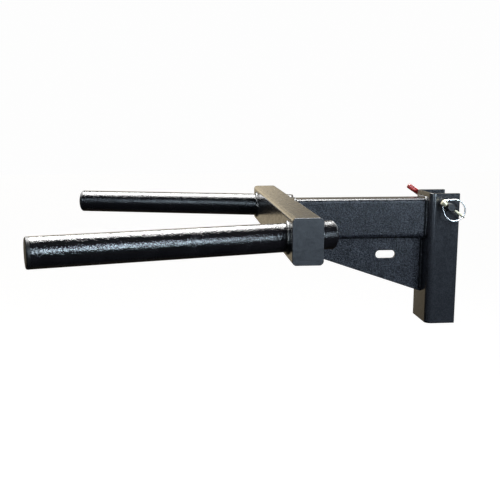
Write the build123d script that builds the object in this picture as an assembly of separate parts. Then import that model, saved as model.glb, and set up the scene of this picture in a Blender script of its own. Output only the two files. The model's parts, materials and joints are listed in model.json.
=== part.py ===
from build123d import *
import math
import os

# A dip bar attachment for a power rack: a channel bracket pinned on a 2 by 3 inch upright, an
# arm with a gusset, a crossbar, and two round handles that spread apart towards the user.
# Millimetres. +Z is up, +Y points from the user to the rack, and +X is to the right of a user
# who faces the rack. The origin is on the hitch pin's axis, at the centre of the upright.

INCH = 25.4

# Upright that the bracket wraps on three sides
upright_width = 2 * INCH
upright_depth = 3 * INCH

# Bracket: one plate bent into a channel
plate = INCH / 4
side_clearance = 0.5
face_clearance = 0.8
bracket_height = 258.5
bracket_depth = 58.6
bracket_above_pin = 24.5
bend_inner_radius = 3 / 16 * INCH
pin_hole_clearance = 0.4

# Rectangular tube of the arm and the crossbar
tube_width = 2 * INCH
tube_height = 3 * INCH
tube_wall = 3.05
tube_corner = 7.0
tube_centre_z = -INCH
arm_length = 10.1 * INCH
crossbar_length = 23 * INCH
end_plate = 3.0

# Round handles
handle_radius = 0.95 * INCH
handle_wall = 3.2
handle_half_spacing = 9.2 * INCH
handle_spread = 15.5
handle_reach = 17.4 * INCH
handle_stub = 56.0
front_cap_thickness = 6.0
front_cap_insert = 18.0
front_cap_insert_wall = 2.5
front_cap_rib = 2.0
front_cap_edge = 3.0
rear_cap_thickness = 4.0
rear_cap_edge = 2.2

# Gusset under the arm
gusset_depth_at_bracket = 113.5
gusset_depth_at_crossbar = 25.0
slot_length = 40.0
slot_width = 16.0
slot_y = -106.5
slot_below_tube = 37.0

# Weld beads
bead = 4.5
bead_clearance = 1.5
flare_start = 25.0

# Hitch pin: a 5/8 inch shaft with a cross handle in a vinyl grip
pin_radius = 5 / 16 * INCH
pin_overhang = 29.0
pin_chamfer = 1.5
pin_far_end_past_handle = 9.0
pin_handle_gap = 3.3
pin_handle_radius = INCH / 8
pin_handle_tilt = 34.0
pin_handle_behind = 12.0
pin_handle_length = 54.5
grip_radius = 5.1
grip_start = 20.5
grip_end = 58.0
grip_edge = 2.6

# Lynch pin: a 3/16 inch shank through the hitch pin's end, with a snap ring on its head
lynch_from_bracket = 17.5
lynch_tilt = 34.5
lynch_radius = 3 / 32 * INCH
lynch_hole_clearance = 0.3
lynch_tip = 35.8
lynch_tip_taper = 5.0
lynch_tip_radius = 1.4
lynch_head_radius = 6.5
lynch_head_seat = 8.3
lynch_head_length = 10.4
lynch_head_edge = 1.8
ring_wire_radius = 1.35
ring_radius = 20.4
ring_centre = 22.5
ring_pivot = 12.0
ring_pivot_clearance = 0.08
ring_end_inside = 4.0
ring_end_outside = 8.6
ring_end_bend = 5.0
ring_gap = 0.35

# Places worked out from the dimensions above
channel_half = upright_depth / 2 + side_clearance
bracket_half = channel_half + plate
web_inner_y = -upright_width / 2 - face_clearance
web_outer_y = web_inner_y - plate
bracket_bottom = bracket_above_pin - bracket_height
crossbar_back_y = web_outer_y - arm_length
crossbar_y = crossbar_back_y - tube_width / 2
crossbar_front_y = crossbar_back_y - tube_width
tube_bottom = tube_centre_z - tube_height / 2
gusset_nose_y = crossbar_front_y + tube_corner
lynch_x = bracket_half + lynch_from_bracket
pin_handle_x = -bracket_half - pin_handle_gap - pin_handle_radius

SIDES = {"left": -1, "right": 1}


def unit(x, y, z):
    return Vector(x, y, z).normalized()


def rod(start, end, radius):
    """A solid cylinder from one point to another."""
    run = end - start
    return extrude(Plane(origin=start, z_dir=run) * Circle(radius), run.length)


def rounded_section(grow=0.0):
    return RectangleRounded(tube_width + 2 * grow, tube_height + 2 * grow, tube_corner + grow)


def arm_plane(y):
    """Across the arm, looking back at the user: X is right and Y is up."""
    return Plane(origin=(0, y, tube_centre_z), x_dir=(1, 0, 0), z_dir=(0, -1, 0))


def crossbar_plane(x):
    """Across the crossbar, with its normal along +X."""
    return Plane(origin=(x, crossbar_y, tube_centre_z), x_dir=(0, 1, 0), z_dir=(1, 0, 0))


def side_plane(x):
    """The YZ plane at x, with its normal along +X."""
    return Plane(origin=(x, 0, 0), x_dir=(0, 1, 0), z_dir=(1, 0, 0))


def handle_direction(side):
    angle = math.radians(handle_spread)
    return Vector(side * math.sin(angle), -math.cos(angle), 0)


def handle_centre(side):
    return Vector(side * handle_half_spacing, crossbar_y, tube_centre_z)


def handle_rod(side, start, end, radius):
    """A cylinder on a handle's axis, between two distances in front of the crossbar's middle."""
    centre, way = handle_centre(side), handle_direction(side)
    return rod(centre + way * start, centre + way * end, radius)


def make_bracket():
    outline = Pos(0, web_outer_y + bracket_depth / 2) * Rectangle(2 * bracket_half, bracket_depth)
    gap_middle = web_inner_y + bracket_depth / 2
    profile = outline - Pos(0, gap_middle) * Rectangle(2 * channel_half, bracket_depth)
    outer_corners = profile.vertices().group_by(Axis.Y)[0]
    profile = fillet(outer_corners, bend_inner_radius + plate)
    inner_corners = [v for v in profile.vertices() if abs(v.Y - web_inner_y) < 0.01]
    profile = fillet(inner_corners, bend_inner_radius)
    channel = Pos(0, 0, bracket_bottom) * extrude(profile, bracket_height)
    across = Vector(2 * bracket_half, 0, 0)
    return channel - rod(across * -1, across, pin_radius + pin_hole_clearance)


def make_tube(plane, length):
    hollow = RectangleRounded(
        tube_width - 2 * tube_wall, tube_height - 2 * tube_wall, tube_corner - tube_wall
    )
    return extrude(plane * (rounded_section() - hollow), length)


def make_crossbar():
    length = crossbar_length - 2 * end_plate
    tube = make_tube(crossbar_plane(-length / 2), length)
    for side in SIDES.values():
        tube -= handle_rod(side, -tube_width, tube_width, handle_radius)
    return tube


def make_end_plate(side):
    inner_x = side * (crossbar_length / 2 - end_plate)
    plane = crossbar_plane(min(inner_x, inner_x + side * end_plate))
    return extrude(plane * rounded_section(), end_plate)


def make_handle(side):
    start = rear_cap_thickness - handle_stub
    end = handle_reach - front_cap_thickness
    outer = handle_rod(side, start, end, handle_radius)
    return outer - handle_rod(side, start - 1, end + 1, handle_radius - handle_wall)


def make_front_cap(side):
    """A plug with a flange as wide as the tube, and a ribbed hollow insert."""
    bore = handle_radius - handle_wall
    flange = Pos(0, 0, front_cap_thickness / 2) * Cylinder(handle_radius, front_cap_thickness)
    flange = fillet(flange.edges().sort_by(Axis.Z)[-1], front_cap_edge)
    insert_inner = bore - front_cap_insert_wall
    insert = Cylinder(bore, front_cap_insert) - Cylinder(insert_inner, front_cap_insert)
    for turn in (0, 90):
        insert += Rot(0, 0, turn) * Box(2 * insert_inner + 1, front_cap_rib, front_cap_insert)
    plug = flange + Pos(0, 0, -front_cap_insert / 2) * insert
    seat = handle_centre(side) + handle_direction(side) * (handle_reach - front_cap_thickness)
    return Plane(origin=seat, z_dir=handle_direction(side)).location * plug


def make_rear_cap(side):
    """A disc welded over the handle's rear end and ground round at its edge."""
    disc = Pos(0, 0, rear_cap_thickness / 2) * Cylinder(handle_radius, rear_cap_thickness)
    disc = fillet(disc.edges().sort_by(Axis.Z)[-1], rear_cap_edge)
    seat = handle_centre(side) - handle_direction(side) * (handle_stub - rear_cap_thickness)
    return Plane(origin=seat, z_dir=handle_direction(side) * -1).location * disc


def gusset_outline():
    slope = (gusset_depth_at_bracket - gusset_depth_at_crossbar) / arm_length
    nose_depth = gusset_depth_at_crossbar - slope * (crossbar_back_y - gusset_nose_y)
    return make_face(
        Polyline(
            (web_outer_y, tube_bottom),
            (web_outer_y, tube_bottom - gusset_depth_at_bracket),
            (gusset_nose_y, tube_bottom - nose_depth),
            (gusset_nose_y, tube_bottom),
            close=True,
        )
    )


def make_gusset():
    slot = Pos(slot_y, tube_bottom - slot_below_tube) * SlotOverall(slot_length, slot_width)
    return extrude(side_plane(-plate / 2) * (gusset_outline() - slot), plate)


def fillet_weld(corner, leg_a, leg_b, length):
    """A straight triangular bead centred on a corner, with its legs along two unit vectors."""
    plane = Plane(origin=corner, x_dir=leg_a, z_dir=leg_a.cross(leg_b))
    section = make_face(Polyline((0, 0), (bead, 0), (0, bead), close=True))
    return extrude(plane * section, length / 2, both=True)


def make_weld_arm_bracket(gusset):
    """A bead all round the arm on the bracket's web, broken by the gusset."""
    skirt = extrude(arm_plane(web_outer_y) * rounded_section(bead), bead, taper=45)
    core = extrude(arm_plane(web_outer_y) * rounded_section(), 2 * bead)
    return skirt - core - gusset


def make_weld_gusset(y_from, y_to):
    """Beads on both sides of the gusset's top edge, between two places along Y."""
    middle = (y_from + y_to) / 2
    return Compound(
        [
            fillet_weld(
                Vector(side * plate / 2, middle, tube_bottom),
                Vector(side, 0, 0),
                Vector(0, 0, -1),
                abs(y_to - y_from),
            )
            for side in SIDES.values()
        ]
    )


def make_weld_gusset_bracket():
    """Beads on both sides of the gusset, down the bracket's web."""
    top = tube_bottom - bead - bead_clearance
    bottom = tube_bottom - gusset_depth_at_bracket + bead
    return Compound(
        [
            fillet_weld(
                Vector(side * plate / 2, web_outer_y, (top + bottom) / 2),
                Vector(side, 0, 0),
                Vector(0, -1, 0),
                top - bottom,
            )
            for side in SIDES.values()
        ]
    )


def flare_weld(up):
    """The metal between the arm's square end and the crossbar's round back edge."""
    angle_a, angle_b = math.radians(flare_start), math.radians(90 - flare_start)
    centre_y = crossbar_back_y - tube_corner
    centre_z = tube_height / 2 - tube_corner
    arc_points = [
        (centre_y + tube_corner * math.cos(angle), centre_z + tube_corner * math.sin(angle))
        for angle in (angle_a, math.radians(45), angle_b)
    ]
    first, last = arc_points[0], arc_points[-1]
    section = make_face(
        Polyline(
            last,
            (last[0], tube_height / 2),
            (crossbar_back_y, tube_height / 2),
            (crossbar_back_y, first[1]),
            first,
        )
        + ThreePointArc(*arc_points)
    )
    width = tube_width - 2 * tube_corner
    fill = extrude(side_plane(-width / 2) * section, width)
    if up < 0:
        fill = mirror(fill, Plane.XY)
    return Pos(0, 0, tube_centre_z) * fill


def make_weld_arm_crossbar():
    height = tube_height - 2 * tube_corner
    sides = [
        fillet_weld(
            Vector(side * tube_width / 2, crossbar_back_y, tube_centre_z),
            Vector(side, 0, 0),
            Vector(0, 1, 0),
            height,
        )
        for side in SIDES.values()
    ]
    return Compound(sides + [flare_weld(1), flare_weld(-1)])


def make_weld_handle(side, face_y, way):
    """A bead round a handle on the crossbar's front (way -1) or back (way +1) face."""
    angle = math.radians(handle_spread)
    centre_x = side * (handle_half_spacing + (crossbar_y - face_y) * math.tan(angle))
    face = Plane(origin=(centre_x, face_y, tube_centre_z), x_dir=(1, 0, 0), z_dir=(0, -1, 0))
    path = (face * Ellipse(handle_radius / math.cos(angle), handle_radius)).edges()[0]
    ring = sweep(Plane(origin=path @ 0, z_dir=path % 0) * Circle(bead), path=path)
    ring -= handle_rod(side, -2 * handle_stub, 2 * handle_stub, handle_radius)
    room = 4 * handle_radius
    inside = Pos(centre_x, face_y - way * room / 2, tube_centre_z) * Box(room, room, room)
    return ring - inside


def pin_handle_direction():
    angle = math.radians(pin_handle_tilt)
    return Vector(0, -math.cos(angle), math.sin(angle))


def lynch_direction():
    """From the lynch pin's head to its tip."""
    angle = math.radians(lynch_tilt)
    return Vector(0, math.cos(angle), -math.sin(angle))


def lynch_point(along):
    return Vector(lynch_x, 0, 0) + lynch_direction() * along


def ring_axis():
    """Across the lynch pin's head, along the ring's pivot."""
    return lynch_direction().cross(Vector(1, 0, 0))


def pin_handle_point(along):
    return Vector(pin_handle_x, 0, 0) + pin_handle_direction() * along


def make_pin_shaft():
    start = Vector(pin_handle_x - pin_far_end_past_handle, 0, 0)
    end = Vector(bracket_half + pin_overhang, 0, 0)
    shaft = rod(start, end, pin_radius)
    shaft = chamfer(shaft.edges().filter_by(GeomType.CIRCLE), pin_chamfer)
    past = 2 * pin_radius
    lynch_hole = lynch_radius + lynch_hole_clearance
    shaft -= rod(lynch_point(-past), lynch_point(past), lynch_hole)
    return shaft - rod(pin_handle_point(-past), pin_handle_point(past), pin_handle_radius)


def make_pin_handle():
    handle = rod(
        pin_handle_point(-pin_handle_behind), pin_handle_point(pin_handle_length), pin_handle_radius
    )
    return chamfer(handle.edges().filter_by(GeomType.CIRCLE), pin_chamfer / 2)


def make_pin_grip(pin_handle):
    grip = rod(pin_handle_point(grip_start), pin_handle_point(grip_end), grip_radius)
    tip = max(grip.edges().filter_by(GeomType.CIRCLE), key=lambda edge: edge.arc_center.Z)
    return fillet(tip, grip_edge) - pin_handle


def make_lynch_pin():
    seat = -lynch_head_seat
    head = rod(lynch_point(seat - lynch_head_length), lynch_point(seat), lynch_head_radius)
    head = chamfer(head.edges().filter_by(GeomType.CIRCLE), lynch_head_edge)
    shank_end = lynch_tip - lynch_tip_taper
    shank = rod(lynch_point(seat - 1), lynch_point(shank_end), lynch_radius)
    taper = Pos(0, 0, lynch_tip_taper / 2) * Cone(lynch_radius, lynch_tip_radius, lynch_tip_taper)
    tip = Plane(origin=lynch_point(shank_end), z_dir=lynch_direction()).location * taper
    across = ring_axis() * 2 * lynch_head_radius
    pivot = lynch_point(-ring_pivot)
    hole = rod(pivot - across, pivot + across, ring_wire_radius + ring_pivot_clearance)
    return head + shank + tip - hole


def make_lynch_ring():
    """A wire loop whose two straight ends pivot in the head, closed over the shank's tip."""
    far = ring_centre + ring_radius
    lift = lynch_radius + ring_wire_radius + ring_gap
    tilt = math.asin(lift / far)
    along = lynch_direction() * math.cos(tilt) + Vector(math.sin(tilt), 0, 0)
    plane = Plane(origin=lynch_point(-ring_pivot), x_dir=along, z_dir=along.cross(ring_axis()))
    reach = math.hypot(ring_centre, ring_end_outside)
    shoulder = math.acos(ring_radius / reach) + math.atan2(ring_end_outside, ring_centre)
    touch_along = ring_centre - ring_radius * math.cos(shoulder)
    touch_across = ring_radius * math.sin(shoulder)
    loop = Curve() + [
        Line((0, ring_end_inside), (0, ring_end_outside)),
        Line((0, ring_end_outside), (touch_along, touch_across)),
        ThreePointArc((touch_along, touch_across), (far, 0), (touch_along, -touch_across)),
        Line((touch_along, -touch_across), (0, -ring_end_outside)),
        Line((0, -ring_end_outside), (0, -ring_end_inside)),
    ]
    bends = [v for v in loop.vertices() if abs(abs(v.Y) - ring_end_outside) < 0.01]
    path = plane * fillet(bends, ring_end_bend)
    wire = Wire(path.edges())
    return sweep(Plane(origin=wire @ 0, z_dir=wire % 0) * Circle(ring_wire_radius), path=wire)


def make_parts():
    gusset = make_gusset()
    pin_handle = make_pin_handle()
    arm_beads_from = web_outer_y - bead - bead_clearance
    arm_beads_to = crossbar_back_y + bead_clearance
    parts = {
        "bracket_channel": make_bracket(),
        "arm_tube": make_tube(arm_plane(web_outer_y), arm_length),
        "gusset_plate": gusset,
        "crossbar_tube": make_crossbar(),
        "weld_arm_bracket": make_weld_arm_bracket(gusset),
        "weld_arm_crossbar": make_weld_arm_crossbar(),
        "weld_gusset_bracket": make_weld_gusset_bracket(),
        "weld_gusset_arm": make_weld_gusset(arm_beads_from, arm_beads_to),
        "weld_gusset_crossbar": make_weld_gusset(crossbar_back_y - tube_corner, gusset_nose_y),
        "hitch_pin_shaft": make_pin_shaft(),
        "hitch_pin_handle": pin_handle,
        "hitch_pin_grip": make_pin_grip(pin_handle),
        "lynch_pin": make_lynch_pin(),
        "lynch_ring": make_lynch_ring(),
    }
    for name, side in SIDES.items():
        parts["crossbar_end_plate_" + name] = make_end_plate(side)
        parts["handle_tube_" + name] = make_handle(side)
        parts["handle_end_cap_" + name] = make_front_cap(side)
        parts["handle_rear_cap_" + name] = make_rear_cap(side)
        parts["weld_handle_front_" + name] = make_weld_handle(side, crossbar_front_y, -1)
        parts["weld_handle_rear_" + name] = make_weld_handle(side, crossbar_back_y, 1)
    return parts


os.makedirs("parts", exist_ok=True)
for node, shape in make_parts().items():
    export_step(shape, "parts/" + node + ".step")
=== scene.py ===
import bmesh
import bpy
import json
import math
import random
from mathutils import Matrix, Vector

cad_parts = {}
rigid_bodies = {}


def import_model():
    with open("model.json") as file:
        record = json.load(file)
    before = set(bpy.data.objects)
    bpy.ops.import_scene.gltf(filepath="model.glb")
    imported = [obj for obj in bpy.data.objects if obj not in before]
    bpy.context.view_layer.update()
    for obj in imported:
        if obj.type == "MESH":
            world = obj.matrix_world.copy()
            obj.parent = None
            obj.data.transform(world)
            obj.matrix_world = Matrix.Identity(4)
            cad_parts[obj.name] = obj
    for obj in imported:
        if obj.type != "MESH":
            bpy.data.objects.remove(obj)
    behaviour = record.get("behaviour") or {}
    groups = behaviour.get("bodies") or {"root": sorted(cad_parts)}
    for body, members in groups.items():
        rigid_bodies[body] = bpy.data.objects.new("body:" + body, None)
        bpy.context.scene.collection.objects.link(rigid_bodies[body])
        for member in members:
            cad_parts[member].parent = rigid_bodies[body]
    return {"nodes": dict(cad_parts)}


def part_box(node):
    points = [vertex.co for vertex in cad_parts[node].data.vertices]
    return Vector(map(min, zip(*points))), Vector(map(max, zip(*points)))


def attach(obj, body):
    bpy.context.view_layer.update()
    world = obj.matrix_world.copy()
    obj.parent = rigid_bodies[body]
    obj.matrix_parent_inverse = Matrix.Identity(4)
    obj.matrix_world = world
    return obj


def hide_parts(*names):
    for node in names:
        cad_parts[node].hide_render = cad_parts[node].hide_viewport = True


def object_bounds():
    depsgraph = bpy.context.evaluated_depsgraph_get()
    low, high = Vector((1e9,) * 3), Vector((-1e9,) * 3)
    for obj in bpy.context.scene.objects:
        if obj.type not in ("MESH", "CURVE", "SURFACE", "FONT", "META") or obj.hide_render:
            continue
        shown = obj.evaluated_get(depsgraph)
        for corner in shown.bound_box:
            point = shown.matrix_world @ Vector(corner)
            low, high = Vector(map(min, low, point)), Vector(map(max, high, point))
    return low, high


# A rack-mounted dip bar attachment in a plain studio: black powder-coated steel, a hitch pin with
# a red grip, and a yellow lynch pin. Metres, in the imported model's own frame.

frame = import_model()
cad_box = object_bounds()
nodes = frame["nodes"]
scene = bpy.context.scene
MM = 0.001

# ---------------------------------------------------------------- dimensions

# weld beads
BEAD_PITCH = 2.3 * MM            # from one ripple to the next
BEAD_STEPS_PER_RIPPLE = 6
BEAD_SECTION = 8                 # steps across a bead
BEAD_CROWN = 0.16                # rise of its middle, per leg
BEAD_RIPPLE = 0.085              # rise of a ripple, per leg
BEAD_CRESCENT = 0.75 * MM        # how far a ripple's middle lags its toes
BEAD_SINK = 0.25 * MM            # into the metal on both sides
BEAD_SWELL = 0.07                # slow change of size along a bead
BEAD_SWELL_WAVES = 9
BEAD_LEAN = 0.04                 # slow shift from one toe to the other
BEAD_LEAN_WAVES = 5
BEAD_END_RIPPLES = 2.0           # length of the taper at an open end
BEAD_END_SIZE = 0.25             # size at the very end
BEAD_LEAST_STEPS = 8

# the arm's tube, and the fill in the flare between its round corners and the crossbar
ARM_CORNER = 7.0 * MM
FLARE_DEPTH = 5.0 * MM
FLARE_ROOT = 0.4 * MM
FLARE_ON_ARM = 2.6 * MM
FLARE_ON_BAR = 5.4 * MM
FLARE_RISE = 4.8 * MM

# sheared plate edges
PLATE_EDGE = 0.7 * MM
PLATE_EDGE_SEGMENTS = 3
SHARP_ANGLE = 40
MERGE_DISTANCE = 0.01 * MM

# a shader's edge mask: cosine between the true and the rounded normal
EDGE_FLAT = 0.995
EDGE_FULL = 0.80
EDGE_SAMPLES = 6

# studio
CAMERA_AT = (1.44538, -0.52082, 0.16729)
CAMERA_RIGHT = Vector((0.0980082, 0.9951852, 0.0009432))
CAMERA_UP = Vector((-0.1723746, 0.0160424, 0.9849008))
CAMERA_LENS = 53.98
CAMERA_SENSOR = 36.0
CAMERA_CLIP = (0.05, 100.0)
LIGHT_DISTANCE = 2.5
FLOOR_DROP = 1.0
FLOOR_REACH = 18.0
BACKDROP_RADIUS = 24.0


# ---------------------------------------------------------------- node helpers

class Shader:
    """A small builder for one procedural material."""

    def __init__(self, name):
        self.material = bpy.data.materials.new(name)
        self.material.use_nodes = True
        self.tree = self.material.node_tree
        self.tree.nodes.clear()
        self.bsdf = self.tree.nodes.new("ShaderNodeBsdfPrincipled")
        out = self.tree.nodes.new("ShaderNodeOutputMaterial")
        self.link(self.bsdf.outputs[0], out.inputs["Surface"])
        self.coords = self.tree.nodes.new("ShaderNodeTexCoord").outputs["Object"]

    def link(self, source, target):
        self.tree.links.new(source, target)

    def put(self, socket, value):
        if isinstance(value, bpy.types.NodeSocket):
            self.link(value, socket)
        else:
            socket.default_value = value

    def set(self, **values):
        for name, value in values.items():
            self.put(self.bsdf.inputs[name.replace("_", " ")], value)

    def noise(self, size, detail=2.0, roughness=0.5, stretch=None, distortion=0.0):
        """A noise whose features are about size metres across."""
        coords = self.coords
        if stretch:
            mapping = self.tree.nodes.new("ShaderNodeMapping")
            mapping.inputs["Scale"].default_value = stretch
            self.link(coords, mapping.inputs["Vector"])
            coords = mapping.outputs[0]
        node = self.tree.nodes.new("ShaderNodeTexNoise")
        node.inputs["Scale"].default_value = 1 / size
        node.inputs["Detail"].default_value = detail
        node.inputs["Roughness"].default_value = roughness
        node.inputs["Distortion"].default_value = distortion
        self.link(coords, node.inputs["Vector"])
        return node.outputs[0]

    def ramp(self, source, low, high, to_low=0.0, to_high=1.0):
        """source from low..high, clamped, to to_low..to_high."""
        node = self.tree.nodes.new("ShaderNodeMapRange")
        for socket, value in zip(node.inputs, (source, low, high, to_low, to_high)):
            self.put(socket, value)
        return node.outputs[0]

    def math(self, how, a, b):
        node = self.tree.nodes.new("ShaderNodeMath")
        node.operation = how
        self.put(node.inputs[0], a)
        self.put(node.inputs[1], b)
        return node.outputs[0]

    def mix(self, factor, a, b):
        node = self.tree.nodes.new("ShaderNodeMix")
        node.data_type = "RGBA"
        self.put(node.inputs[0], factor)
        self.put(node.inputs[6], a)
        self.put(node.inputs[7], b)
        return node.outputs[2]

    def edges(self, radius):
        """(rounded normal, 0..1 mask of the sharp edges)."""
        bevel = self.tree.nodes.new("ShaderNodeBevel")
        bevel.samples = EDGE_SAMPLES
        bevel.inputs["Radius"].default_value = radius
        geometry = self.tree.nodes.new("ShaderNodeNewGeometry")
        dot = self.tree.nodes.new("ShaderNodeVectorMath")
        dot.operation = "DOT_PRODUCT"
        self.link(bevel.outputs[0], dot.inputs[0])
        self.link(geometry.outputs["Normal"], dot.inputs[1])
        return bevel.outputs[0], self.ramp(dot.outputs["Value"], EDGE_FLAT, EDGE_FULL)

    def bump(self, height, depth, strength, normal=None):
        """height 0..1 raised by depth metres."""
        node = self.tree.nodes.new("ShaderNodeBump")
        node.inputs["Strength"].default_value = strength
        node.inputs["Distance"].default_value = depth
        self.link(height, node.inputs["Height"])
        if normal is not None:
            self.link(normal, node.inputs["Normal"])
        return node.outputs[0]


def rgb(red, green, blue):
    return (red, green, blue, 1.0)


# ---------------------------------------------------------------- materials

def powder_coat(name, dark, light, worn, rough, pebble, pebble_depth, peel, peel_depth, edge):
    """Powder coat: speckled colour, pebbles of one size over peel of another, and rubbed edges."""
    s = Shader(name)
    rounded, edge_mask = s.edges(edge)
    mottle = s.noise(22 * MM, detail=4.0, roughness=0.6)
    speckle = s.noise(pebble, detail=2.0, roughness=0.6)
    scuff = s.noise(9 * MM, detail=6.0, roughness=0.72, distortion=0.6)
    patches = s.ramp(mottle, 0.35, 0.68, 0.0, 0.25)
    grains = s.ramp(speckle, 0.40, 0.60, 0.0, 0.75)
    colour = s.mix(s.math("ADD", patches, grains), dark, light)
    wear = s.math("MULTIPLY", edge_mask, s.ramp(scuff, 0.46, 0.62))
    wear = s.math("MULTIPLY", wear, 0.55)
    s.set(Base_Color=s.mix(wear, colour, worn))
    base_rough = s.ramp(s.noise(6 * MM, detail=3.0), 0.3, 0.7, rough - 0.05, rough + 0.06)
    s.set(Roughness=s.math("ADD", base_rough, s.math("MULTIPLY", wear, 0.18)))
    skin = s.bump(s.noise(peel, detail=2.0, roughness=0.5), peel_depth, 1.0, rounded)
    s.set(Normal=s.bump(speckle, pebble_depth, 1.0, skin))
    s.set(IOR=1.5)
    return s.material


def gloss_coat():
    """The handles: glossy, finely wrinkled black."""
    s = Shader("powder_coat_gloss_skin")
    rounded, edge_mask = s.edges(1.0 * MM)
    mottle = s.noise(30 * MM, detail=3.0, roughness=0.6)
    wrinkle = s.noise(2.4 * MM, detail=1.0, roughness=0.5, distortion=0.3)
    lumps = s.noise(7 * MM, detail=1.0, roughness=0.5)
    grit = s.noise(0.9 * MM, detail=2.0, roughness=0.6)
    colour = s.mix(s.ramp(mottle, 0.35, 0.7), rgb(0.0095, 0.0090, 0.0110), rgb(0.0150, 0.0145, 0.0175))
    scuff = s.noise(7 * MM, detail=6.0, roughness=0.75, distortion=0.8)
    wear = s.math("MULTIPLY", edge_mask, s.ramp(scuff, 0.48, 0.62))
    wear = s.math("MULTIPLY", wear, 0.5)
    s.set(Base_Color=s.mix(wear, colour, rgb(0.10, 0.105, 0.11)))
    s.set(Roughness=s.ramp(s.noise(5 * MM, detail=4.0, roughness=0.65), 0.3, 0.7, 0.08, 0.14))
    skin = s.bump(lumps, 0.2 * MM, 1.0, rounded)
    skin = s.bump(wrinkle, 0.64 * MM, 1.0, skin)
    s.set(Normal=s.bump(grit, 0.012 * MM, 1.0, skin))
    s.set(IOR=1.5)
    return s.material


def cap_plastic():
    s = Shader("cap_plastic_skin")
    rounded, edge_mask = s.edges(0.8 * MM)
    tone = s.noise(14 * MM, detail=3.0)
    colour = s.mix(s.ramp(tone, 0.35, 0.7), rgb(0.011, 0.0115, 0.013), rgb(0.019, 0.02, 0.022))
    scuff = s.noise(4 * MM, detail=5.0, roughness=0.7)
    rub = s.math("MULTIPLY", edge_mask, s.ramp(scuff, 0.45, 0.65, 0.0, 0.5))
    s.set(Base_Color=s.mix(rub, colour, rgb(0.06, 0.062, 0.066)))
    s.set(Roughness=s.ramp(s.noise(3 * MM, detail=4.0, roughness=0.7), 0.3, 0.7, 0.36, 0.5))
    spark = s.bump(s.noise(0.55 * MM, detail=2.0, roughness=0.6), 0.03 * MM, 1.0, rounded)
    s.set(Normal=s.bump(s.noise(9 * MM, detail=1.0), 0.15 * MM, 0.5, spark))
    s.set(IOR=1.49, Specular_IOR_Level=0.25)
    return s.material


def pin_steel():
    s = Shader("pin_black_skin")
    rounded, edge_mask = s.edges(0.5 * MM)
    tone = s.noise(6 * MM, detail=4.0, roughness=0.65)
    colour = s.mix(s.ramp(tone, 0.3, 0.7), rgb(0.018, 0.019, 0.021), rgb(0.042, 0.044, 0.048))
    scuff = s.noise(2.5 * MM, detail=5.0, roughness=0.7)
    rub = s.math("MULTIPLY", edge_mask, s.ramp(scuff, 0.35, 0.6, 0.1, 0.85))
    s.set(Base_Color=s.mix(rub, colour, rgb(0.33, 0.34, 0.36)))
    lathe = s.noise(1.0 * MM, detail=2.0, roughness=0.6, stretch=(3.0, 0.35, 0.35))
    s.set(Roughness=s.ramp(lathe, 0.3, 0.7, 0.30, 0.46))
    s.set(Normal=s.bump(lathe, 0.02 * MM, 1.0, rounded))
    s.set(Metallic=0.35, IOR=1.5)
    return s.material


def grip_vinyl():
    s = Shader("grip_red_skin")
    rounded, _ = s.edges(0.6 * MM)
    tone = s.noise(8 * MM, detail=3.0, roughness=0.55)
    fade = s.noise(2.2 * MM, detail=4.0, roughness=0.7)
    colour = s.mix(s.ramp(tone, 0.3, 0.7), rgb(0.60, 0.028, 0.024), rgb(0.74, 0.060, 0.046))
    colour = s.mix(s.ramp(fade, 0.55, 0.75, 0.0, 0.25), colour, rgb(0.82, 0.17, 0.13))
    s.set(Base_Color=colour)
    s.set(Roughness=s.ramp(fade, 0.3, 0.7, 0.30, 0.44))
    skin = s.bump(s.noise(4.0 * MM, detail=2.0), 0.10 * MM, 1.0, rounded)
    s.set(Normal=s.bump(s.noise(0.8 * MM, detail=2.0), 0.02 * MM, 1.0, skin))
    s.set(IOR=1.52, Coat_Weight=0.35, Coat_Roughness=0.12)
    return s.material


def yellow_zinc():
    s = Shader("yellow_zinc_skin")
    rounded, edge_mask = s.edges(0.5 * MM)
    bloom = s.noise(3.5 * MM, detail=4.0, roughness=0.65, distortion=0.8)
    tint = s.noise(1.6 * MM, detail=3.0, roughness=0.6)
    gold = s.mix(s.ramp(bloom, 0.35, 0.65), rgb(0.93, 0.86, 0.58), rgb(0.90, 0.87, 0.68))
    gold = s.mix(s.ramp(tint, 0.55, 0.72, 0.0, 0.4), gold, rgb(0.86, 0.72, 0.56))
    rub = s.math("MULTIPLY", edge_mask, s.ramp(s.noise(1.5 * MM, detail=4.0), 0.4, 0.6, 0.0, 0.7))
    s.set(Base_Color=s.mix(rub, gold, rgb(0.78, 0.77, 0.72)))
    s.set(Roughness=s.ramp(tint, 0.3, 0.7, 0.26, 0.42), Metallic=0.55)
    s.set(Normal=s.bump(s.noise(0.9 * MM, detail=3.0, roughness=0.6), 0.03 * MM, 1.0, rounded))
    return s.material


def spring_wire():
    s = Shader("spring_wire_skin")
    drawn = s.noise(0.7 * MM, detail=3.0, roughness=0.6, distortion=0.4)
    dull = s.noise(3 * MM, detail=4.0, roughness=0.7)
    s.set(Base_Color=s.mix(s.ramp(dull, 0.4, 0.7), rgb(0.86, 0.86, 0.85), rgb(0.62, 0.62, 0.61)))
    s.set(Roughness=s.ramp(drawn, 0.3, 0.7, 0.14, 0.26), Metallic=1.0)
    s.set(Normal=s.bump(drawn, 0.015 * MM, 1.0))
    return s.material


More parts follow.
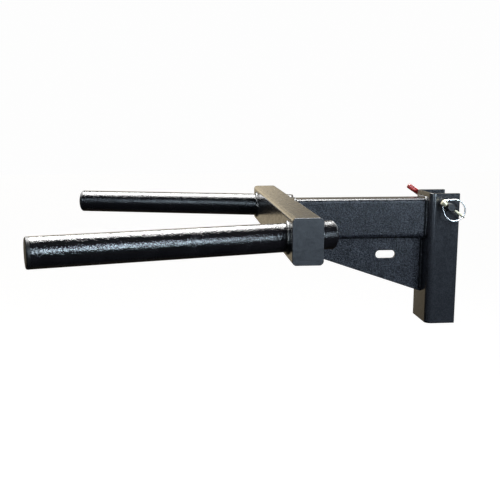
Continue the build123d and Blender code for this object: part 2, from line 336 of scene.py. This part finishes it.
def make_materials():
    worn = rgb(0.13, 0.135, 0.14)

    # the arm and the gusset: coarse pebbles, in a lighter copy of the frame's black; that extra
    # lightness is painted light, standing in for the window light kept off them
    satin_painted_light = powder_coat(
        "powder_coat_satin_skin", rgb(0.004, 0.005, 0.008), rgb(0.078, 0.087, 0.110), worn,
        rough=0.20, pebble=2.6 * MM, pebble_depth=0.74 * MM, peel=9.0 * MM, peel_depth=0.15 * MM,
        edge=0.9 * MM,
    )
    # the bracket
    smooth = powder_coat(
        "powder_coat_plate_skin", rgb(0.026, 0.029, 0.036), rgb(0.049, 0.054, 0.066), worn,
        rough=0.20, pebble=2.0 * MM, pebble_depth=0.05 * MM, peel=10.0 * MM, peel_depth=0.10 * MM,
        edge=0.9 * MM,
    )
    # the crossbar: long soft waves
    uneven = powder_coat(
        "powder_coat_bar_skin", rgb(0.021, 0.024, 0.030), rgb(0.042, 0.047, 0.058), worn,
        rough=0.20, pebble=14.0 * MM, pebble_depth=0.08 * MM, peel=32.0 * MM, peel_depth=0.40 * MM,
        edge=0.9 * MM,
    )
    # the crossbar's end plates
    matte = powder_coat(
        "powder_coat_matte_skin", rgb(0.023, 0.026, 0.034), rgb(0.036, 0.039, 0.048), worn,
        rough=0.36, pebble=2.0 * MM, pebble_depth=0.05 * MM, peel=8.0 * MM, peel_depth=0.12 * MM,
        edge=0.9 * MM,
    )
    # the weld beads
    weld = powder_coat(
        "weld_coated_skin", rgb(0.010, 0.011, 0.014), rgb(0.020, 0.022, 0.026), worn,
        rough=0.13, pebble=0.9 * MM, pebble_depth=0.03 * MM, peel=2.6 * MM, peel_depth=0.9 * MM,
        edge=0.4 * MM,
    )
    return {
        "satin_painted_light": satin_painted_light,
        "smooth": smooth,
        "uneven": uneven,
        "matte": matte,
        "weld_coated": weld,
        "gloss": gloss_coat(),
        "cap_plastic": cap_plastic(),
        "pin_black": pin_steel(),
        "grip_red": grip_vinyl(),
        "yellow_zinc": yellow_zinc(),
        "spring_wire": spring_wire(),
    }


NODE_LOOKS = {
    # the arm and the gusset wear the lighter coat, whose extra lightness is painted light
    "arm_tube": "satin_painted_light",
    "gusset_plate": "satin_painted_light",
    "crossbar_tube": "uneven",
    "crossbar_end_plate": "matte",
    "bracket_channel": "smooth",
    "handle_tube": "gloss",
    "handle_rear_cap": "gloss",
    "handle_end_cap": "cap_plastic",
    "hitch_pin_shaft": "pin_black",
    "hitch_pin_handle": "pin_black",
    "hitch_pin_grip": "grip_red",
    "lynch_pin": "yellow_zinc",
    "lynch_ring": "spring_wire",
}


def paint(obj, material):
    obj.data.materials.clear()
    obj.data.materials.append(material)


def paint_nodes(materials):
    for name, obj in nodes.items():
        for start, look in NODE_LOOKS.items():
            if name.startswith(start):
                paint(obj, materials[look])


def soften(name, width):
    """Rounds the sheared edges of a plate."""
    obj = nodes[name]
    merge = obj.modifiers.new("merge", "WELD")
    merge.merge_threshold = MERGE_DISTANCE
    bevel = obj.modifiers.new("edges", "BEVEL")
    bevel.width = width
    bevel.segments = PLATE_EDGE_SEGMENTS
    bevel.limit_method = "ANGLE"
    bevel.angle_limit = math.radians(SHARP_ANGLE)
    bevel.use_clamp_overlap = False
    bevel.harden_normals = True


# ---------------------------------------------------------------- weld beads

class Bead:
    """One run of weld: a corner line, and the two faces that its toes lie on."""

    def __init__(self, corners, toes_a, toes_b, closed=False):
        self.corners = corners
        self.toes_a = toes_a
        self.toes_b = toes_b
        self.closed = closed


def smooth_random(rng, count, waves):
    """A seeded smooth -1..1 signal of count values, the same at both ends."""
    parts = [(k, rng.uniform(0, math.tau), rng.uniform(0.4, 1.0)) for k in range(1, waves + 1)]
    scale = sum(weight for _, _, weight in parts)
    return [
        sum(w * math.sin(math.tau * k * i / count + shift) for k, shift, w in parts) / scale
        for i in range(count)
    ]


def bead_rings(bead, rng):
    """The cross-sections along one bead, each a closed loop of points."""
    count = len(bead.corners)
    swell = smooth_random(rng, count, BEAD_SWELL_WAVES)
    lean = smooth_random(rng, count, BEAD_LEAN_WAVES)
    travelled = 0.0
    rings = []
    for i, corner in enumerate(bead.corners):
        if i:
            travelled += (corner - bead.corners[i - 1]).length
        to_a, to_b = bead.toes_a[i], bead.toes_b[i]
        ends = 1.0
        if not bead.closed:
            near_end = min(i, count - 1 - i) / (BEAD_END_RIPPLES * BEAD_STEPS_PER_RIPPLE)
            ends = min(1.0, math.sqrt(near_end) * (1 - BEAD_END_SIZE) + BEAD_END_SIZE)
        size = ends * (1 + BEAD_SWELL * swell[i])
        to_a = to_a * size * (1 + BEAD_LEAN * lean[i])
        to_b = to_b * size * (1 - BEAD_LEAN * lean[i])
        out = (to_a + to_b).normalized()
        leg = (to_a.length + to_b.length) / 2
        ring = [corner - out * BEAD_SINK]
        for k in range(BEAD_SECTION + 1):
            t = k / BEAD_SECTION
            arch = 4 * t * (1 - t)
            phase = (travelled - BEAD_CRESCENT * arch) / BEAD_PITCH
            ripple = math.sqrt(max(0.0, 1 - (phase % 1.0) ** 2))
            raised = leg * arch * (BEAD_CROWN + BEAD_RIPPLE * ripple)
            sunk = BEAD_SINK * 0.5 * (1 - arch)
            ring.append(corner + to_a.lerp(to_b, t) + out * (raised - sunk))
        rings.append(ring)
    return rings


def bead_mesh(name, beads, material, stands_for, seed):
    """All the beads of one CAD weld node as one rippled piece."""
    rng = random.Random(seed)
    verts, faces = [], []
    for bead in beads:
        rings = bead_rings(bead, rng)
        first, wide = len(verts), len(rings[0])
        for ring in rings:
            verts.extend(ring)
        spans = len(rings) if bead.closed else len(rings) - 1
        for i in range(spans):
            a, b = first + i * wide, first + (i + 1) % len(rings) * wide
            for k in range(wide):
                nxt = (k + 1) % wide
                faces.append((a + k, a + nxt, b + nxt, b + k))
        if not bead.closed:
            faces.append(tuple(first + k for k in reversed(range(wide))))
            faces.append(tuple(first + (len(rings) - 1) * wide + k for k in range(wide)))
    mesh = bpy.data.meshes.new(name)
    mesh.from_pydata([tuple(v) for v in verts], [], faces)
    mesh.validate()
    obj = bpy.data.objects.new(name, mesh)
    scene.collection.objects.link(obj)
    fix_normals(mesh)
    mesh.shade_smooth()
    paint(obj, material)
    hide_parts(stands_for)
    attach(obj, "frame")


def fix_normals(mesh):
    work = bmesh.new()
    work.from_mesh(mesh)
    bmesh.ops.recalc_face_normals(work, faces=work.faces)
    work.to_mesh(mesh)
    work.free()


def straight_bead(start, end, toe_a, toe_b):
    steps = round((end - start).length / BEAD_PITCH * BEAD_STEPS_PER_RIPPLE)
    steps = max(BEAD_LEAST_STEPS, steps)
    corners = [start.lerp(end, i / steps) for i in range(steps + 1)]
    return Bead(corners, [toe_a] * len(corners), [toe_b] * len(corners))


def weld_beads(materials):
    material = materials["weld_coated"]
    arm_lo, arm_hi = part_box("arm_tube")
    gusset_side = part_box("gusset_plate")[1].x
    web = arm_hi.y
    x_pos, y_pos, z_pos = Vector((1, 0, 0)), Vector((0, 1, 0)), Vector((0, 0, 1))

    # round the arm, on the bracket's web
    arm_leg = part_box("weld_arm_bracket")[1].x - arm_hi.x
    points, outward = rounded_loop(arm_lo, arm_hi, web, ARM_CORNER)
    toes = [way * arm_leg for way in outward]
    loop = Bead(points, toes, [y_pos * -arm_leg] * len(points), closed=True)
    bead_mesh("weld_arm_bracket_bead", [loop], material, "weld_arm_bracket", 11)

    # down both sides of the gusset, on the web
    lo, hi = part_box("weld_gusset_bracket")
    leg = hi.x - gusset_side
    beads = [
        straight_bead(
            Vector((side * gusset_side, web, hi.z)), Vector((side * gusset_side, web, lo.z)),
            x_pos * side * leg, y_pos * -leg,
        )
        for side in (-1, 1)
    ]
    bead_mesh("weld_gusset_bracket_bead", beads, material, "weld_gusset_bracket", 12)

    # along the gusset's top edge, under the arm and under the crossbar
    for seed, name in ((13, "weld_gusset_arm"), (14, "weld_gusset_crossbar")):
        lo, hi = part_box(name)
        beads = [
            straight_bead(
                Vector((side * gusset_side, hi.y, hi.z)), Vector((side * gusset_side, lo.y, hi.z)),
                x_pos * side * leg, z_pos * -leg,
            )
            for side in (-1, 1)
        ]
        bead_mesh(name + "_bead", beads, material, name, seed)

    # between the arm's square end and the crossbar, with the gusset's leg
    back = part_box("crossbar_tube")[1].y
    low, high = arm_lo.z + ARM_CORNER, arm_hi.z - ARM_CORNER
    beads = [
        straight_bead(
            Vector((side * arm_hi.x, back, high)), Vector((side * arm_hi.x, back, low)),
            x_pos * side * leg, y_pos * leg,
        )
        for side in (-1, 1)
    ]
    reach = arm_hi.x - ARM_CORNER
    for up, z in ((1, arm_hi.z), (-1, arm_lo.z)):
        root = Vector((0, back - FLARE_ROOT, z - up * FLARE_DEPTH))
        toe_arm = Vector((0, FLARE_ON_ARM, up * FLARE_DEPTH))
        toe_bar = Vector((0, -FLARE_ON_BAR, up * FLARE_RISE))
        beads.append(
            straight_bead(root - x_pos * reach, root + x_pos * reach, toe_arm, toe_bar)
        )
    bead_mesh("weld_arm_crossbar_bead", beads, material, "weld_arm_crossbar", 15)
    ring_welds(material)


def box_middle(name):
    lo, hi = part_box(name)
    return (lo + hi) / 2


def ring_welds(material):
    """Round each handle, on the crossbar's front and back faces."""
    for seed, side in ((16, "left"), (18, "right")):
        front, rear = "weld_handle_front_" + side, "weld_handle_rear_" + side
        along = (box_middle(front) - box_middle(rear)).normalized()
        ring_weld(front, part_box(front)[1].y, along, material, seed)
        ring_weld(rear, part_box(rear)[0].y, -along, material, seed + 1)


def ring_weld(name, face, way, material, seed):
    """One ring in the plane at y = face, with a toe on the handle that leaves it along way."""
    lo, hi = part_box(name)
    leg = hi.y - lo.y
    middle = box_middle(name)
    half_x, half_z = (hi.x - lo.x) / 2 - leg, (hi.z - lo.z) / 2 - leg
    count = round(math.tau * half_z / BEAD_PITCH) * BEAD_STEPS_PER_RIPPLE
    points, toes = [], []
    for i in range(count):
        turn = math.tau * i / count
        points.append(
            Vector((middle.x + half_x * math.cos(turn), face, middle.z + half_z * math.sin(turn)))
        )
        toes.append(Vector((half_z * math.cos(turn), 0, half_x * math.sin(turn))).normalized() * leg)
    ring = Bead(points, toes, [way * leg] * count, closed=True)
    bead_mesh(name + "_bead", [ring], material, name, seed)


def rounded_loop(lo, hi, y, corner):
    """Points and outward directions round a rounded rectangle in the plane at y."""
    points, outward = [], []
    step = BEAD_PITCH / BEAD_STEPS_PER_RIPPLE
    spots = [
        (hi.x - corner, hi.z - corner, 0),
        (lo.x + corner, hi.z - corner, 90),
        (lo.x + corner, lo.z + corner, 180),
        (hi.x - corner, lo.z + corner, 270),
    ]
    for (x, z, start), (next_x, next_z, _) in zip(spots, spots[1:] + spots[:1]):
        turns = max(2, round(math.radians(90) * corner / step))
        for i in range(turns):
            angle = math.radians(start + 90 * i / turns)
            way = Vector((math.cos(angle), 0, math.sin(angle)))
            points.append(Vector((x, y, z)) + way * corner)
            outward.append(way)
        angle = math.radians(start + 90)
        way = Vector((math.cos(angle), 0, math.sin(angle)))
        begin, end = Vector((x, y, z)) + way * corner, Vector((next_x, y, next_z)) + way * corner
        runs = max(2, round((end - begin).length / step))
        for i in range(runs):
            points.append(begin.lerp(end, i / runs))
            outward.append(way)
    return points, outward


# ---------------------------------------------------------------- studio

def make_camera():
    data = bpy.data.cameras.new("camera")
    data.sensor_width = CAMERA_SENSOR
    data.lens = CAMERA_LENS
    data.clip_start, data.clip_end = CAMERA_CLIP
    obj = bpy.data.objects.new("camera", data)
    scene.collection.objects.link(obj)
    back = CAMERA_RIGHT.cross(CAMERA_UP)
    turn = Matrix((CAMERA_RIGHT, CAMERA_UP, back)).transposed().to_4x4()
    obj.matrix_world = Matrix.Translation(CAMERA_AT) @ turn
    scene.camera = obj


def area_light(name, azimuth, elevation, width, height, radiance, colour, unseen_by=(), shift=0.0):
    """A soft box at an azimuth from +X towards +Y and an elevation, seen from the object.

    unseen_by names the rays that miss it, and shift moves it and what it faces along Y.
    """
    look_at = (cad_box[0] + cad_box[1]) / 2 + Vector((0, shift, 0))
    data = bpy.data.lights.new(name, "AREA")
    data.shape = "RECTANGLE"
    data.size, data.size_y = width, height
    data.energy = radiance * width * height * math.pi
    data.color = colour
    obj = bpy.data.objects.new(name, data)
    a, e = math.radians(azimuth), math.radians(elevation)
    way = Vector((math.cos(e) * math.cos(a), math.cos(e) * math.sin(a), math.sin(e)))
    obj.location = look_at + way * LIGHT_DISTANCE
    obj.rotation_mode = "QUATERNION"
    obj.rotation_quaternion = way.to_track_quat("Z", "Y")
    for ray in ("camera",) + unseen_by:
        setattr(obj, "visible_" + ray, False)
    scene.collection.objects.link(obj)
    return obj


def make_lights():
    warm, cool, blue = (1.0, 0.995, 0.985), (0.86, 0.94, 1.0), (0.70, 0.86, 1.0)
    highlights, softly = ("diffuse",), ("glossy",)

    # name, azimuth, elevation, width, height, radiance, colour, rays that don't see it
    area_light("overhead_gloss", 180, 66, 3.1, 1.72, 28.0, warm, highlights, shift=-0.75)
    area_light("overhead_end", 180, 66, 1.4, 1.5, 5.0, warm, highlights, shift=1.5)
    area_light("overhead_soft", 180, 70, 3.0, 3.0, 1.6, warm, softly)
    window_left = area_light("window_left", 16, 17.5, 0.74, 0.70, 33.0, blue, highlights)
    window_dim = area_light("window_dim", 16, 17.5, 0.74, 0.70, 7.5, blue, highlights)
    area_light("window_right", 36, 10.5, 0.82, 0.52, 7.2, blue, highlights)
    area_light("room", 22, 20, 1.35, 1.15, 6.6, cool, softly)
    area_light("fill", -34, 21, 1.15, 0.63, 8.0, blue, highlights)
    area_light("back_room", 152, 12, 2.4, 1.6, 6.0, warm, softly)
    area_light("rim", 122, 20, 0.48, 0.87, 14.0, cool, highlights)
    glint = area_light("glint", -68, 6, 0.6, 0.6, 55.0, cool, highlights)

    rings = [
        obj for obj in scene.objects
        if obj.name.startswith("weld_handle") and obj.name.endswith("_bead")
    ]
    # the arm and the gusset get only a dimmer window; painted light in their coat's colour makes up the
    # rest
    pebbled = [nodes["arm_tube"], nodes["gusset_plate"]]
    link_light(glint, rings, "INCLUDE")
    link_light(window_left, pebbled, "EXCLUDE")
    link_light(window_dim, pebbled, "INCLUDE")


def link_light(light, receivers, state):
    """Makes a light reach only these objects (INCLUDE) or all but these (EXCLUDE)."""
    group = bpy.data.collections.new("receivers_of_" + light.name)
    for obj in receivers:
        group.objects.link(obj)
    for item in group.collection_objects:
        item.light_linking.link_state = state
    light.light_linking.receiver_collection = group


def map_range(tree, source, low, high, to_low, to_high, how="SMOOTHSTEP"):
    node = tree.nodes.new("ShaderNodeMapRange")
    node.interpolation_type = how
    tree.links.new(source, node.inputs[0])
    for socket, value in zip(node.inputs[1:5], (low, high, to_low, to_high)):
        socket.default_value = value
    return node.outputs[0]


def make_world():
    """Walls seen in reflections: warm behind the object, cool and darker on the camera's side."""
    warm_wall, cool_wall = rgb(0.94, 0.795, 0.555), rgb(0.26, 0.31, 0.38)
    # (height from straight down 0 to straight up 1, brightness)
    stops = (
        (0.0, 0.04), (0.30, 0.08), (0.40, 0.42), (0.46, 0.75),
        (0.54, 1.8), (0.59, 1.0), (0.66, 0.12), (1.0, 0.12),
    )

    world = bpy.data.worlds.new("studio")
    world.use_nodes = True
    scene.world = world
    tree = world.node_tree
    tree.nodes.clear()
    link = tree.links.new
    coords = tree.nodes.new("ShaderNodeTexCoord").outputs["Generated"]
    parts = tree.nodes.new("ShaderNodeSeparateXYZ")
    link(coords, parts.inputs[0])
    x, y, z = (parts.outputs[axis] for axis in "XYZ")

    tint = tree.nodes.new("ShaderNodeMix")
    tint.data_type = "RGBA"
    tint.inputs[6].default_value = warm_wall
    tint.inputs[7].default_value = cool_wall
    link(map_range(tree, x, -0.8, 0.3, 0.0, 1.0), tint.inputs[0])

    level = tree.nodes.new("ShaderNodeValToRGB")
    while len(level.color_ramp.elements) < len(stops):
        level.color_ramp.elements.new(0.5)
    for element, (place, value) in zip(level.color_ramp.elements, stops):
        element.position = place
        element.color = rgb(value, value, value)
    link(map_range(tree, z, -1.0, 1.0, 0.0, 1.0, how="LINEAR"), level.inputs[0])

    wall = tree.nodes.new("ShaderNodeMix")
    wall.data_type = "RGBA"
    wall.blend_type = "MULTIPLY"
    wall.inputs[0].default_value = 1.0
    link(tint.outputs[2], wall.inputs[6])
    link(level.outputs[0], wall.inputs[7])

    # dimmer in front, where the handles point, and behind, on the rack's side
    strength = tree.nodes.new("ShaderNodeMath")
    strength.operation = "MULTIPLY"
    link(map_range(tree, y, -0.85, -0.25, 0.12, 1.0), strength.inputs[0])
    link(map_range(tree, y, 0.05, 0.19, 1.0, 0.27), strength.inputs[1])

    back = tree.nodes.new("ShaderNodeBackground")
    link(wall.outputs[2], back.inputs["Color"])
    link(strength.outputs[0], back.inputs["Strength"])
    out = tree.nodes.new("ShaderNodeOutputWorld")
    link(back.outputs[0], out.inputs["Surface"])


def camera_only(obj):
    for ray in ("diffuse", "glossy", "transmission", "volume_scatter", "shadow"):
        setattr(obj, "visible_" + ray, False)


def make_stage():
    """A pale floor and a white backdrop all round, neither of them in the reflections."""
    mesh = bpy.data.meshes.new("floor")
    size, z = FLOOR_REACH, cad_box[0].z - FLOOR_DROP
    mesh.from_pydata(
        [(-size, -size, z), (size, -size, z), (size, size, z), (-size, size, z)], [], [(0, 1, 2, 3)]
    )
    floor = bpy.data.objects.new("floor", mesh)
    scene.collection.objects.link(floor)
    s = Shader("floor_pale")
    tone = s.noise(0.9, detail=3.0)
    s.set(Base_Color=s.mix(tone, rgb(0.20, 0.20, 0.20), rgb(0.24, 0.24, 0.24)))
    s.set(Roughness=0.8, Specular_IOR_Level=0.1)
    s.set(Emission_Color=rgb(1, 1, 1), Emission_Strength=0.965)
    paint(floor, s.material)
    camera_only(floor)

    mesh = bpy.data.meshes.new("backdrop")
    work = bmesh.new()
    bmesh.ops.create_icosphere(work, subdivisions=4, radius=BACKDROP_RADIUS)
    work.to_mesh(mesh)
    work.free()
    backdrop = bpy.data.objects.new("backdrop", mesh)
    scene.collection.objects.link(backdrop)
    s = Shader("backdrop_white")
    s.set(Base_Color=rgb(0, 0, 0), Roughness=1.0, Specular_IOR_Level=0.0)
    s.set(Emission_Color=rgb(1, 1, 1), Emission_Strength=0.985)
    paint(backdrop, s.material)
    camera_only(backdrop)


# ---------------------------------------------------------------- build

materials = make_materials()
paint_nodes(materials)
for plate in ("bracket_channel", "gusset_plate", "crossbar_end_plate_left", "crossbar_end_plate_right"):
    soften(plate, PLATE_EDGE)
weld_beads(materials)
make_camera()
make_lights()
make_world()
make_stage()
scene.view_settings.view_transform = "Standard"
